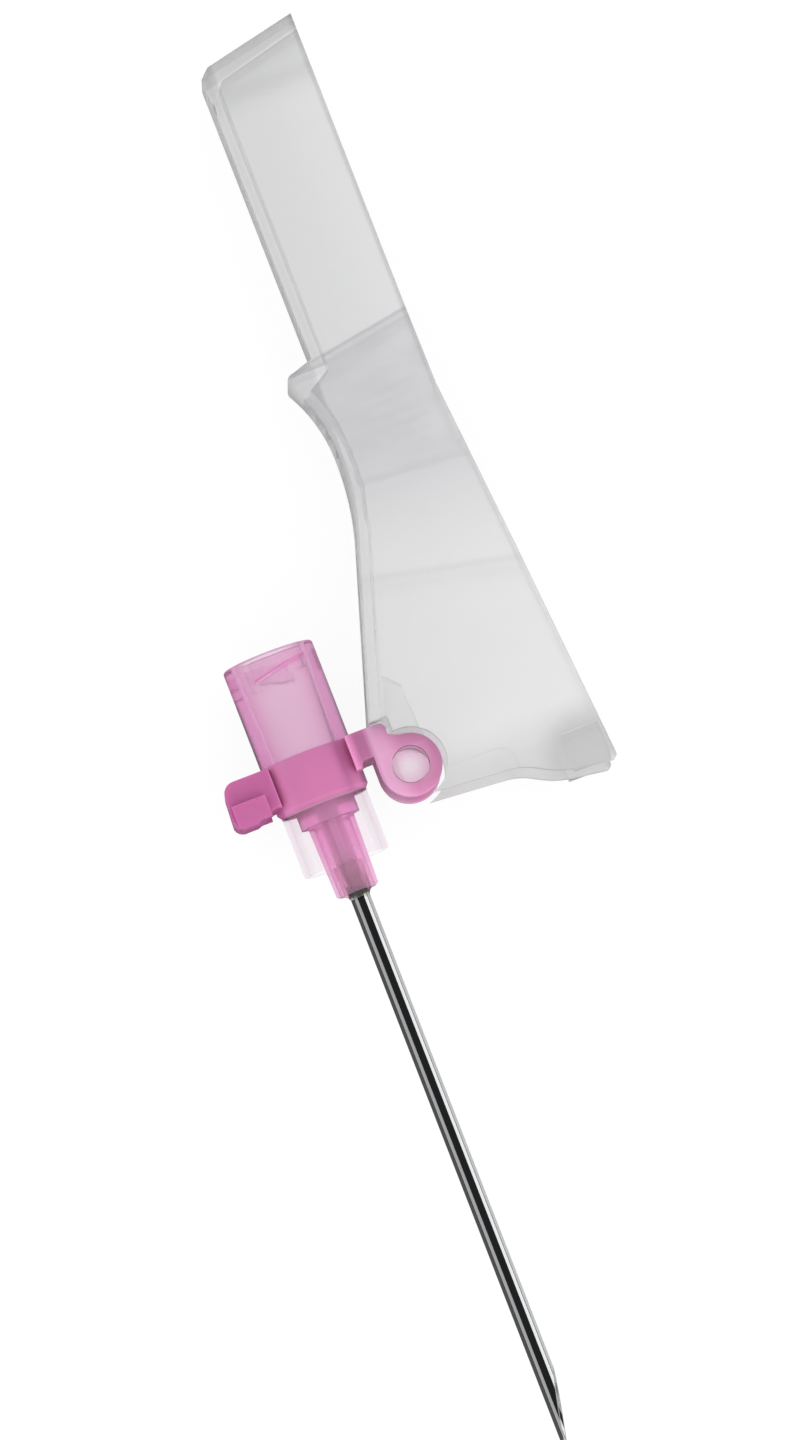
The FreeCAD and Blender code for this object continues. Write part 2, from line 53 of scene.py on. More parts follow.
slow.inputs["Scale"].default_value = 130.0
slow.inputs["Detail"].default_value = 2.0
bump = skin.nodes.new("ShaderNodeBump")
bump.inputs["Strength"].default_value = 0.08
bump.inputs["Distance"].default_value = 0.00002
skin.links.new(place.outputs["Object"], grain.inputs["Vector"])
skin.links.new(place.outputs["Object"], slow.inputs["Vector"])
skin.links.new(grain.outputs["Fac"], bump.inputs["Height"])
skin.links.new(slow.outputs["Fac"], put_out.inputs["Gloss"])
skin.links.new(bump.outputs["Normal"], put_out.inputs["Normal"])

pink = bpy.data.materials.new("hub plastic")
pink.use_nodes = True
tree = pink.node_tree
shader = tree.nodes["Principled BSDF"]
shader.inputs["IOR"].default_value = 1.14
shader.inputs["Specular IOR Level"].default_value = 0.12
shader.inputs["Coat Weight"].default_value = 0.15
shader.inputs["Coat Roughness"].default_value = 0.28
surface = tree.nodes.new("ShaderNodeGroup")
surface.node_tree = skin
rough = tree.nodes.new("ShaderNodeMapRange")
rough.inputs["From Min"].default_value = 0.3
rough.inputs["From Max"].default_value = 0.7
rough.inputs["To Min"].default_value = 0.18
rough.inputs["To Max"].default_value = 0.25
place = tree.nodes.new("ShaderNodeTexCoord")
along = tree.nodes.new("ShaderNodeSeparateXYZ")
thick = tree.nodes.new("ShaderNodeMapRange")
thick.inputs["From Min"].default_value = 0.0066
thick.inputs["From Max"].default_value = 0.0086
nose = tree.nodes.new("ShaderNodeMapRange")
nose.inputs["From Min"].default_value = 0.0125
nose.inputs["From Max"].default_value = 0.0152
nose.inputs["To Min"].default_value = 1.0
nose.inputs["To Max"].default_value = 0.25
solid = tree.nodes.new("ShaderNodeMath")
solid.operation = "MULTIPLY"
nose_tint = tree.nodes.new("ShaderNodeMapRange")
nose_tint.inputs["From Min"].default_value = 0.0125
nose_tint.inputs["From Max"].default_value = 0.0152
nose_tint.inputs["To Min"].default_value = 1.0
nose_tint.inputs["To Max"].default_value = 0.65
dense = tree.nodes.new("ShaderNodeMath")
dense.operation = "MULTIPLY"
# painted shade: the barrel's far side, below about -2 mm in Y, is given deeper pink
far_side_painted_shade = tree.nodes.new("ShaderNodeMapRange")
far_side_painted_shade.inputs["From Min"].default_value = -0.0025
far_side_painted_shade.inputs["From Max"].default_value = -0.0015
far_side_painted_shade.inputs["To Min"].default_value = 0.22
far_side_painted_shade.inputs["To Max"].default_value = 0.0
deeper = tree.nodes.new("ShaderNodeMath")
deeper.operation = "MAXIMUM"
# painted shadow: a thin deeper-pink line along the lock lug's edge, on the upper side only
lug_lean = tree.nodes.new("ShaderNodeVectorMath")
lug_lean.operation = "DOT_PRODUCT"
lug_lean.inputs[1].default_value = (1.0, 0.196, 0.0)
lug_line = tree.nodes.new("ShaderNodeMath")
lug_line.operation = "COMPARE"
lug_line.inputs[1].default_value = 0.0013
lug_line.inputs[2].default_value = 0.00008
lug_length = tree.nodes.new("ShaderNodeMath")
lug_length.operation = "COMPARE"
lug_length.inputs[1].default_value = 0.0004
lug_length.inputs[2].default_value = 0.0018
lug_top = tree.nodes.new("ShaderNodeMath")
lug_top.operation = "GREATER_THAN"
lug_top.inputs[1].default_value = 0.0
lug_part = tree.nodes.new("ShaderNodeMath")
lug_part.operation = "MULTIPLY"
lug_painted_shadow = tree.nodes.new("ShaderNodeMath")
lug_painted_shadow.operation = "MULTIPLY"
deepest = tree.nodes.new("ShaderNodeMath")
deepest.operation = "MAXIMUM"
# this pink mix carries the deeper pink of the thick stem and also the painted shade and painted shadow
# set up above
pigment = tree.nodes.new("ShaderNodeMix")
pigment.data_type = "RGBA"
pigment.inputs["A"].default_value = (1.0, 0.91, 0.96, 1.0)
pigment.inputs["B"].default_value = (1.0, 0.50, 0.80, 1.0)
through = tree.nodes.new("ShaderNodeMapRange")
through.inputs["To Min"].default_value = 0.90
through.inputs["To Max"].default_value = 0.68
# painted shade: surfaces seen at a slant turn a darker pink towards the edges
facing = tree.nodes.new("ShaderNodeLayerWeight")
facing.inputs["Blend"].default_value = 0.12
painted_edge_shade = tree.nodes.new("ShaderNodeMix")
painted_edge_shade.data_type = "RGBA"
painted_edge_shade.inputs["B"].default_value = (0.66, 0.25, 0.49, 1.0)
depth = tree.nodes.new("ShaderNodeVolumeAbsorption")
depth.inputs["Color"].default_value = (0.76, 0.0, 0.56, 1.0)
depth.inputs["Density"].default_value = 250.0
tree.links.new(surface.outputs["Gloss"], rough.inputs["Value"])
tree.links.new(rough.outputs["Result"], shader.inputs["Roughness"])
tree.links.new(surface.outputs["Normal"], shader.inputs["Normal"])
tree.links.new(place.outputs["Object"], along.inputs["Vector"])
tree.links.new(along.outputs["X"], thick.inputs["Value"])
tree.links.new(along.outputs["X"], nose.inputs["Value"])
tree.links.new(thick.outputs["Result"], solid.inputs[0])
tree.links.new(nose.outputs["Result"], solid.inputs[1])
tree.links.new(along.outputs["X"], nose_tint.inputs["Value"])
tree.links.new(thick.outputs["Result"], dense.inputs[0])
tree.links.new(nose_tint.outputs["Result"], dense.inputs[1])
tree.links.new(along.outputs["Y"], far_side_painted_shade.inputs["Value"])
tree.links.new(dense.outputs["Value"], deeper.inputs[0])
tree.links.new(far_side_painted_shade.outputs["Result"], deeper.inputs[1])
tree.links.new(place.outputs["Object"], lug_lean.inputs[0])
tree.links.new(lug_lean.outputs["Value"], lug_line.inputs[0])
tree.links.new(along.outputs["Y"], lug_length.inputs[0])
tree.links.new(along.outputs["Z"], lug_top.inputs[0])
tree.links.new(lug_line.outputs["Value"], lug_part.inputs[0])
tree.links.new(lug_length.outputs["Value"], lug_part.inputs[1])
tree.links.new(lug_part.outputs["Value"], lug_painted_shadow.inputs[0])
tree.links.new(lug_top.outputs["Value"], lug_painted_shadow.inputs[1])
tree.links.new(deeper.outputs["Value"], deepest.inputs[0])
tree.links.new(lug_painted_shadow.outputs["Value"], deepest.inputs[1])
tree.links.new(deepest.outputs["Value"], pigment.inputs["Factor"])
tree.links.new(solid.outputs["Value"], through.inputs["Value"])
tree.links.new(through.outputs["Result"], shader.inputs["Transmission Weight"])
tree.links.new(pigment.outputs["Result"], painted_edge_shade.inputs["A"])
tree.links.new(facing.outputs["Facing"], painted_edge_shade.inputs["Factor"])
tree.links.new(painted_edge_shade.outputs["Result"], shader.inputs["Base Color"])
tree.links.new(depth.outputs["Volume"], tree.nodes["Material Output"].inputs["Volume"])

bpy.ops.object.select_all(action="DESELECT")
hub = nodes["hub"].copy()
hub.data = nodes["hub"].data.copy()
hub.name = "hub_moulding"
bpy.context.scene.collection.objects.link(hub)
hub.select_set(True)
bpy.context.view_layer.objects.active = hub
bpy.ops.object.mode_set(mode="EDIT")
bpy.ops.mesh.select_all(action="SELECT")
bpy.ops.mesh.remove_doubles(threshold=0.000001)
bpy.ops.mesh.dissolve_limited(angle_limit=math.radians(1.0))
bpy.ops.mesh.normals_make_consistent(inside=False)
bpy.ops.object.mode_set(mode="OBJECT")
rounding = hub.modifiers.new("edge rounding", "BEVEL")
rounding.width = 0.00008
rounding.segments = 2
rounding.limit_method = "ANGLE"
rounding.angle_limit = math.radians(32)
bpy.ops.object.modifier_apply(modifier="edge rounding")
bpy.ops.object.shade_smooth_by_angle(angle=math.radians(35))
hub.data.materials.clear()
hub.data.materials.append(pink)
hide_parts("hub")
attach(hub, "needle")


# Collar
# A second moulding, in the same pink with far more pigment, pushed over the hub against the barrel.
# The thick band, arm, web and ears look nearly solid, and the skirt in front is thin and looks clear.
deep_pink = bpy.data.materials.new("collar plastic")
deep_pink.use_nodes = True
tree = deep_pink.node_tree
shader = tree.nodes["Principled BSDF"]
shader.inputs["IOR"].default_value = 1.2
shader.inputs["Specular IOR Level"].default_value = 0.2
shader.inputs["Coat Weight"].default_value = 0.15
shader.inputs["Coat Roughness"].default_value = 0.22
shader.inputs["Subsurface Weight"].default_value = 0.4
shader.inputs["Subsurface Radius"].default_value = (1.0, 0.6, 0.8)
shader.inputs["Subsurface Scale"].default_value = 0.0012
surface = tree.nodes.new("ShaderNodeGroup")
surface.node_tree = skin
rough = tree.nodes.new("ShaderNodeMapRange")
rough.inputs["From Min"].default_value = 0.3
rough.inputs["From Max"].default_value = 0.7
rough.inputs["To Min"].default_value = 0.29
rough.inputs["To Max"].default_value = 0.36
place = tree.nodes.new("ShaderNodeTexCoord")
along = tree.nodes.new("ShaderNodeSeparateXYZ")
thin = tree.nodes.new("ShaderNodeMapRange")
thin.inputs["From Min"].default_value = 0.01003
thin.inputs["From Max"].default_value = 0.01018
hub_side = tree.nodes.new("ShaderNodeMath")
hub_side.operation = "LESS_THAN"
hub_side.inputs[1].default_value = 0.0029
skirt = tree.nodes.new("ShaderNodeMath")
skirt.operation = "MULTIPLY"
pigment = tree.nodes.new("ShaderNodeMix")
pigment.data_type = "RGBA"
pigment.inputs["B"].default_value = (1.0, 0.90, 0.96, 1.0)
across = tree.nodes.new("ShaderNodeMapRange")
across.inputs["From Min"].default_value = -0.005
across.inputs["From Max"].default_value = 0.007
# pink tones across the collar by part; the stops at 0.21 and 0.635 are painted light and the stop at
# 0.575 is painted shade
tint = tree.nodes.new("ShaderNodeValToRGB")
tint.color_ramp.elements[0].position = 0.19
tint.color_ramp.elements[0].color = (0.46, 0.125, 0.30, 1.0)
tint.color_ramp.elements[1].position = 1.0
tint.color_ramp.elements[1].color = (0.64, 0.27, 0.46, 1.0)
# painted light: lifts the shade where the arm meets the band
painted_crease_stop = tint.color_ramp.elements.new(0.21)
painted_crease_stop.color = (0.66, 0.225, 0.45, 1.0)
band = tint.color_ramp.elements.new(0.29)
band.color = (0.53, 0.175, 0.355, 1.0)
band = tint.color_ramp.elements.new(0.53)
band.color = (0.53, 0.175, 0.355, 1.0)
# painted shade: darker on the band's side next to the web
band = tint.color_ramp.elements.new(0.575)
band.color = (0.46, 0.155, 0.32, 1.0)
# painted light: lifts the shade where the band meets the web
painted_crease_stop = tint.color_ramp.elements.new(0.635)
painted_crease_stop.color = (0.74, 0.27, 0.51, 1.0)
web = tint.color_ramp.elements.new(0.68)
web.color = (0.40, 0.14, 0.275, 1.0)
web = tint.color_ramp.elements.new(0.725)
web.color = (0.42, 0.15, 0.29, 1.0)
ear = tint.color_ramp.elements.new(0.76)
ear.color = (0.64, 0.34, 0.52, 1.0)
ear = tint.color_ramp.elements.new(0.82)
ear.color = (0.66, 0.33, 0.51, 1.0)
ear = tint.color_ramp.elements.new(0.90)
ear.color = (0.60, 0.245, 0.43, 1.0)
through = tree.nodes.new("ShaderNodeMapRange")
through.inputs["To Min"].default_value = 0.12
through.inputs["To Max"].default_value = 0.9
cover = tree.nodes.new("ShaderNodeMapRange")
cover.inputs["To Min"].default_value = 1.0
cover.inputs["To Max"].default_value = 0.09
depth = tree.nodes.new("ShaderNodeVolumeAbsorption")
depth.inputs["Color"].default_value = (0.70, 0.0, 0.50, 1.0)
depth.inputs["Density"].default_value = 70.0
tree.links.new(surface.outputs["Gloss"], rough.inputs["Value"])
tree.links.new(rough.outputs["Result"], shader.inputs["Roughness"])
tree.links.new(surface.outputs["Normal"], shader.inputs["Normal"])
tree.links.new(place.outputs["Object"], along.inputs["Vector"])
tree.links.new(along.outputs["X"], thin.inputs["Value"])
tree.links.new(along.outputs["Y"], hub_side.inputs[0])
tree.links.new(along.outputs["Y"], across.inputs["Value"])
tree.links.new(across.outputs["Result"], tint.inputs["Fac"])
tree.links.new(tint.outputs["Color"], pigment.inputs["A"])
tree.links.new(thin.outputs["Result"], skirt.inputs[0])
tree.links.new(hub_side.outputs["Value"], skirt.inputs[1])
tree.links.new(skirt.outputs["Value"], pigment.inputs["Factor"])
tree.links.new(skirt.outputs["Value"], through.inputs["Value"])
tree.links.new(skirt.outputs["Value"], cover.inputs["Value"])
tree.links.new(pigment.outputs["Result"], shader.inputs["Base Color"])
tree.links.new(through.outputs["Result"], shader.inputs["Transmission Weight"])
tree.links.new(cover.outputs["Result"], shader.inputs["Alpha"])
tree.links.new(depth.outputs["Volume"], tree.nodes["Material Output"].inputs["Volume"])

bpy.ops.object.select_all(action="DESELECT")
collar = nodes["hinge_collar"].copy()
collar.data = nodes["hinge_collar"].data.copy()
collar.name = "collar_moulding"
bpy.context.scene.collection.objects.link(collar)
collar.select_set(True)
bpy.context.view_layer.objects.active = collar
bpy.ops.object.mode_set(mode="EDIT")
bpy.ops.mesh.select_all(action="SELECT")
bpy.ops.mesh.remove_doubles(threshold=0.000001)
bpy.ops.mesh.dissolve_limited(angle_limit=math.radians(1.0))
bpy.ops.mesh.normals_make_consistent(inside=False)
bpy.ops.object.mode_set(mode="OBJECT")
rounding = collar.modifiers.new("edge rounding", "BEVEL")
rounding.width = 0.00012
rounding.segments = 2
rounding.limit_method = "ANGLE"
rounding.angle_limit = math.radians(32)
bpy.ops.object.modifier_apply(modifier="edge rounding")
bpy.ops.object.shade_smooth_by_angle(angle=math.radians(35))
collar.data.materials.clear()
collar.data.materials.append(deep_pink)
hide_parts("hinge_collar")
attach(collar, "needle")


# Shield
# Moulded in natural polypropylene without pigment: milky and satin. Painted shade greys it along the
# folds, at the tip, on the end and back walls seen edge-on, at the catch, along the mouth's rim, on the
# lower wall and at edges seen at a slant. It is a little darker towards the hinge end, and painted pink
# light from the ears tints the hinge bar. The finger pad has faint flow marks, and the step behind the
# tip runs out gently.
milky = bpy.data.materials.new("shield plastic")
milky.use_nodes = True
tree = milky.node_tree
shader = tree.nodes["Principled BSDF"]
shader.inputs["IOR"].default_value = 1.16
shader.inputs["Coat Weight"].default_value = 0.2
shader.inputs["Coat Roughness"].default_value = 0.3
surface = tree.nodes.new("ShaderNodeGroup")
surface.node_tree = skin
rough = tree.nodes.new("ShaderNodeMapRange")
rough.inputs["From Min"].default_value = 0.3
rough.inputs["From Max"].default_value = 0.7
rough.inputs["To Min"].default_value = 0.18
rough.inputs["To Max"].default_value = 0.25
# painted shade: edges seen at a slant turn grey, less so at the tip and the back, and not on the neck
facing = tree.nodes.new("ShaderNodeLayerWeight")
facing.inputs["Blend"].default_value = 0.12
painted_edge_shade = tree.nodes.new("ShaderNodeMix")
painted_edge_shade.data_type = "RGBA"
painted_edge_shade.inputs["B"].default_value = (0.33, 0.34, 0.35, 1.0)
place = tree.nodes.new("ShaderNodeTexCoord")
# painted shade: a dark line along the first fold and a greyer facet past it
step_line = tree.nodes.new("ShaderNodeVectorMath")
step_line.operation = "DOT_PRODUCT"
step_line.inputs[1].default_value = (1.0, 0.171, 0.0)
step_span = tree.nodes.new("ShaderNodeMapRange")
step_span.inputs["From Min"].default_value = -0.0176
step_span.inputs["From Max"].default_value = -0.0116
step_shade = tree.nodes.new("ShaderNodeValToRGB")
step_shade.color_ramp.elements[0].position = 0.47
step_shade.color_ramp.elements[0].color = (0.985, 0.985, 0.99, 1.0)
step_shade.color_ramp.elements[1].position = 0.53
step_shade.color_ramp.elements[1].color = (0.925, 0.92, 0.935, 1.0)
painted_crease_stop = step_shade.color_ramp.elements.new(0.49)
painted_crease_stop.color = (0.76, 0.76, 0.79, 1.0)
pad_line = tree.nodes.new("ShaderNodeVectorMath")
pad_line.operation = "DOT_PRODUCT"
pad_line.inputs[1].default_value = (1.0, -0.2275, 0.0)
pad_span = tree.nodes.new("ShaderNodeMapRange")
pad_span.interpolation_type = "SMOOTHSTEP"
pad_span.inputs["From Min"].default_value = -0.0125
pad_span.inputs["From Max"].default_value = -0.0035
# the painted shade of the first fold fades back to white across the finger pad
step_shade_fade = tree.nodes.new("ShaderNodeMix")
step_shade_fade.data_type = "RGBA"
step_shade_fade.inputs["B"].default_value = (1.0, 1.0, 1.0, 1.0)
# painted shade: dark lines along the second and third folds
folds = []
for direction, low, high, stops in (
    ((1.0, -0.0726, 0.0), -0.01041, -0.00641, ((0.38, 0.985), (0.50, 0.94), (0.60, 1.0))),
    ((1.0, -0.22, 0.0), -0.00553, -0.00153, ((0.40, 1.0), (0.50, 0.925), (0.58, 0.97), (0.78, 1.0))),
):
    fold = tree.nodes.new("ShaderNodeVectorMath")
    fold.operation = "DOT_PRODUCT"
    fold.inputs[1].default_value = direction
    span = tree.nodes.new("ShaderNodeMapRange")
    span.inputs["From Min"].default_value = low
    span.inputs["From Max"].default_value = high
    shade = tree.nodes.new("ShaderNodeValToRGB")
    first_stop, last_stop = stops[0], stops[-1]
    shade.color_ramp.elements[0].position = first_stop[0]
    shade.color_ramp.elements[0].color = (first_stop[1], first_stop[1], first_stop[1], 1.0)
    shade.color_ramp.elements[1].position = last_stop[0]
    shade.color_ramp.elements[1].color = (last_stop[1], last_stop[1], last_stop[1], 1.0)
    for position, grey_level in stops[1:-1]:
        stop = shade.color_ramp.elements.new(position)
        stop.color = (grey_level, grey_level, grey_level, 1.0)
    tree.links.new(place.outputs["Object"], fold.inputs[0])
    tree.links.new(fold.outputs["Value"], span.inputs["Value"])
    tree.links.new(span.outputs["Result"], shade.inputs["Fac"])
    folds.append(shade)
creases = tree.nodes.new("ShaderNodeVectorMath")
creases.operation = "MULTIPLY"
flow_place = tree.nodes.new("ShaderNodeMapping")
flow_place.inputs["Scale"].default_value = (620.0, 150.0, 0.0)
flow_place.inputs["Rotation"].default_value = (0.0, 0.0, math.radians(-8.0))
flow = tree.nodes.new("ShaderNodeTexNoise")
flow.inputs["Scale"].default_value = 1.0
flow.inputs["Detail"].default_value = 2.0
in_pad = tree.nodes.new("ShaderNodeMapRange")
in_pad.interpolation_type = "SMOOTHSTEP"
in_pad.inputs["From Min"].default_value = -0.0088
in_pad.inputs["From Max"].default_value = -0.0070
in_pad.inputs["To Min"].default_value = 1.0
in_pad.inputs["To Max"].default_value = 0.0
before_fold = tree.nodes.new("ShaderNodeMath")
before_fold.operation = "GREATER_THAN"
before_fold.inputs[1].default_value = -0.01466
marks = tree.nodes.new("ShaderNodeMapRange")
marks.inputs["To Min"].default_value = 1.0
marks.inputs["To Max"].default_value = 0.94
off_end = tree.nodes.new("ShaderNodeMath")
off_end.operation = "MULTIPLY"
streak = tree.nodes.new("ShaderNodeMapRange")
streak.inputs["From Min"].default_value = 0.40
streak.inputs["From Max"].default_value = 0.62
streak.inputs["To Min"].default_value = 1.0
marked = tree.nodes.new("ShaderNodeVectorMath")
marked.operation = "MULTIPLY"
pad_along = tree.nodes.new("ShaderNodeMapRange")
pad_along.inputs["From Min"].default_value = -0.016
pad_along.inputs["From Max"].default_value = 0.007
# painted shade: the strip just inside the back wall's line, where the wall is seen edge-on, is greyer
back_line = tree.nodes.new("ShaderNodeValToRGB")
back_line.color_ramp.elements[0].color = (0.88, 0.88, 0.88, 1.0)
back_line.color_ramp.elements[1].position = 0.982
back_line.color_ramp.elements[1].color = (0.052, 0.052, 0.052, 1.0)
for position, out in (
    (0.045, 0.87), (0.11, 0.86), (0.17, 0.91), (0.26, 0.94), (0.37, 0.92), (0.504, 0.75)
):
    stop = back_line.color_ramp.elements.new(position)
    stop.color = (out, out, out, 1.0)
back_out = tree.nodes.new("ShaderNodeMapRange")
back_out.inputs["To Min"].default_value = 0.0040
back_out.inputs["To Max"].default_value = 0.0090
inside = tree.nodes.new("ShaderNodeMath")
inside.operation = "SUBTRACT"
edge_on = tree.nodes.new("ShaderNodeMapRange")
edge_on.inputs["From Min"].default_value = 0.00080
edge_on.inputs["From Max"].default_value = 0.00095
edge_on.inputs["To Min"].default_value = 0.85
edge_on.inputs["To Max"].default_value = 1.0
past_step = tree.nodes.new("ShaderNodeMath")
past_step.operation = "LESS_THAN"
past_step.inputs[1].default_value = -0.016
no_strip = tree.nodes.new("ShaderNodeMath")
no_strip.operation = "MAXIMUM"
strip = tree.nodes.new("ShaderNodeVectorMath")
strip.operation = "MULTIPLY"
# painted shade on the end wall at the tip, seen edge-on
from_end = tree.nodes.new("ShaderNodeVectorMath")
from_end.operation = "DOT_PRODUCT"
from_end.inputs[1].default_value = (1.0, 0.273, 0.0)
end_wall = tree.nodes.new("ShaderNodeMapRange")
end_wall.inputs["From Min"].default_value = -0.03235
end_wall.inputs["From Max"].default_value = -0.03215
end_wall.inputs["To Min"].default_value = 0.81
end_wall.inputs["To Max"].default_value = 1.0
walled = tree.nodes.new("ShaderNodeVectorMath")
walled.operation = "MULTIPLY"
along = tree.nodes.new("ShaderNodeSeparateXYZ")
end = tree.nodes.new("ShaderNodeMapRange")
end.inputs["From Min"].default_value = 0.0095
end.inputs["From Max"].default_value = 0.0118
end.inputs["To Min"].default_value = 1.0
end.inputs["To Max"].default_value = 0.91
# painted shade: grey bands across the tip
tip = tree.nodes.new("ShaderNodeMapRange")
tip.inputs["From Min"].default_value = -0.0385
tip.inputs["From Max"].default_value = -0.0325
tip_shade = tree.nodes.new("ShaderNodeValToRGB")
tip_shade.color_ramp.elements[0].color = (0.83, 0.83, 0.83, 1.0)
tip_shade.color_ramp.elements[1].color = (1.0, 1.0, 1.0, 1.0)
thicker = tip_shade.color_ramp.elements.new(0.62)
thicker.color = (0.94, 0.94, 0.94, 1.0)
thicker = tip_shade.color_ramp.elements.new(0.74)
thicker.color = (0.90, 0.90, 0.90, 1.0)
thicker = tip_shade.color_ramp.elements.new(0.88)
thicker.color = (0.98, 0.98, 0.98, 1.0)
ends = tree.nodes.new("ShaderNodeMath")
ends.operation = "MULTIPLY"
# painted shade: the lower wall is darker than the upper one
lower = tree.nodes.new("ShaderNodeMapRange")
lower.inputs["From Min"].default_value = -0.0005
lower.inputs["From Max"].default_value = 0.0005
lower.inputs["To Min"].default_value = 0.895
lower.inputs["To Max"].default_value = 1.0
grey = tree.nodes.new("ShaderNodeMath")
grey.operation = "MULTIPLY"
level_off = tree.nodes.new("ShaderNodeMath")
level_off.operation = "ABSOLUTE"
between = tree.nodes.new("ShaderNodeMath")
between.operation = "LESS_THAN"
between.inputs[1].default_value = 0.0019
near = tree.nodes.new("ShaderNodeMath")
near.operation = "LESS_THAN"
near.inputs[1].default_value = 0.0090
neck = tree.nodes.new("ShaderNodeMath")
neck.operation = "MULTIPLY"
through = tree.nodes.new("ShaderNodeMapRange")
through.inputs["To Min"].default_value = 0.78
through.inputs["To Max"].default_value = 0.97
soft_tip = tree.nodes.new("ShaderNodeMapRange")
soft_tip.inputs["From Min"].default_value = -0.0335
soft_tip.inputs["From Max"].default_value = -0.0310
soft_tip.inputs["To Min"].default_value = 0.25
soft_tip.inputs["To Max"].default_value = 1.0
soft_back = tree.nodes.new("ShaderNodeMapRange")
soft_back.inputs["From Min"].default_value = 0.0100
soft_back.inputs["From Max"].default_value = 0.0130
soft_back.inputs["To Min"].default_value = 0.45
soft_back.inputs["To Max"].default_value = 1.0
soft = tree.nodes.new("ShaderNodeMath")
soft.operation = "MULTIPLY"
edge = tree.nodes.new("ShaderNodeMath")
edge.operation = "MULTIPLY"
to_bar = tree.nodes.new("ShaderNodeVectorMath")
to_bar.operation = "DISTANCE"
to_bar.inputs[1].default_value = (0.0099, 0.00587, 0.0)
level = tree.nodes.new("ShaderNodeVectorMath")
level.operation = "MULTIPLY"
level.inputs[1].default_value = (1.0, 1.0, 0.0)
in_bar = tree.nodes.new("ShaderNodeMapRange")
in_bar.inputs["From Max"].default_value = 0.0015
# painted light: the hinge bar inside the ears' eyes is tinted pink, for the pink light it picks up from
# the ears
bar_painted_pink_light = tree.nodes.new("ShaderNodeValToRGB")
bar_painted_pink_light.color_ramp.elements[0].position = 0.2
bar_painted_pink_light.color_ramp.elements[0].color = (1.0, 0.88, 0.96, 1.0)
bar_painted_pink_light.color_ramp.elements[1].position = 0.82
bar_painted_pink_light.color_ramp.elements[1].color = (1.0, 1.0, 1.0, 1.0)
bar_edge_painted_pink = bar_painted_pink_light.color_ramp.elements.new(0.76)
bar_edge_painted_pink.color = (0.94, 0.56, 0.77, 1.0)
# painted shade around the catch corner
to_catch = tree.nodes.new("ShaderNodeVectorMath")
to_catch.operation = "DISTANCE"
to_catch.inputs[1].default_value = (0.0128, 0.0165, 0.0)
at_catch = tree.nodes.new("ShaderNodeMapRange")
at_catch.interpolation_type = "SMOOTHSTEP"
at_catch.inputs["From Min"].default_value = 0.0010
at_catch.inputs["From Max"].default_value = 0.0036
at_catch.inputs["To Min"].default_value = 0.89
at_catch.inputs["To Max"].default_value = 1.0
# painted shade: a grey line along the mouth's rim
flare = tree.nodes.new("ShaderNodeMath")
flare.operation = "ADD"
flare.inputs[1].default_value = 0.012
spread = tree.nodes.new("ShaderNodeMath")
spread.operation = "MAXIMUM"
spread.inputs[1].default_value = 0.0
from_mouth = tree.nodes.new("ShaderNodeMath")
from_mouth.operation = "MULTIPLY_ADD"
from_mouth.inputs[1].default_value = -0.0771
rim = tree.nodes.new("ShaderNodeMapRange")
rim.inputs["From Min"].default_value = 0.01575
rim.inputs["From Max"].default_value = 0.01600
rim.inputs["To Min"].default_value = 1.0
rim.inputs["To Max"].default_value = 0.84
# painted shade on the back wall in the narrow part, seen edge-on
back = tree.nodes.new("ShaderNodeMapRange")
back.inputs["From Min"].default_value = 0.01005
back.inputs["From Max"].default_value = 0.01025
back.inputs["To Min"].default_value = 1.0
back.inputs["To Max"].default_value = 0.0
in_narrow = tree.nodes.new("ShaderNodeMath")
in_narrow.operation = "LESS_THAN"
in_narrow.inputs[1].default_value = -0.0157
back_wall = tree.nodes.new("ShaderNodeMath")
back_wall.operation = "MULTIPLY"
back_shade = tree.nodes.new("ShaderNodeMapRange")
back_shade.inputs["To Min"].default_value = 1.0
back_shade.inputs["To Max"].default_value = 0.80
catch_shade = tree.nodes.new("ShaderNodeMath")
catch_shade.operation = "MULTIPLY"
rim_shade = tree.nodes.new("ShaderNodeMath")
rim_shade.operation = "MULTIPLY"
back_and_rim_shade = tree.nodes.new("ShaderNodeMath")
back_and_rim_shade.operation = "MULTIPLY"
core = tree.nodes.new("ShaderNodeMix")
core.data_type = "RGBA"
core.inputs["B"].default_value = (1.0, 1.0, 1.0, 1.0)
off_neck = tree.nodes.new("ShaderNodeMath")
off_neck.operation = "SUBTRACT"
off_neck.inputs[0].default_value = 1.0
edge_off_neck = tree.nodes.new("ShaderNodeMath")
edge_off_neck.operation = "MULTIPLY"
# the painted shades of the folds, the back strip and the end wall, with the pad's flow marks, multiplied
# together
moulded = tree.nodes.new("ShaderNodeVectorMath")
moulded.operation = "MULTIPLY"
shaded = tree.nodes.new("ShaderNodeVectorMath")
shaded.operation = "MULTIPLY"
# adds the painted pink light on the hinge bar
with_painted_pink_light = tree.nodes.new("ShaderNodeVectorMath")
with_painted_pink_light.operation = "MULTIPLY"
depth = tree.nodes.new("ShaderNodeVolumeAbsorption")
depth.inputs["Color"].default_value = (0.0, 0.03, 0.05, 1.0)
depth.inputs["Density"].default_value = 12.0
tree.links.new(surface.outputs["Gloss"], rough.inputs["Value"])
tree.links.new(rough.outputs["Result"], shader.inputs["Roughness"])
tree.links.new(surface.outputs["Normal"], shader.inputs["Normal"])
tree.links.new(place.outputs["Object"], step_line.inputs[0])
tree.links.new(step_line.outputs["Value"], step_span.inputs["Value"])
tree.links.new(step_span.outputs["Result"], step_shade.inputs["Fac"])
tree.links.new(step_shade.outputs["Color"], step_shade_fade.inputs["A"])
tree.links.new(place.outputs["Object"], pad_line.inputs[0])
tree.links.new(pad_line.outputs["Value"], pad_span.inputs["Value"])
tree.links.new(pad_span.outputs["Result"], step_shade_fade.inputs["Factor"])
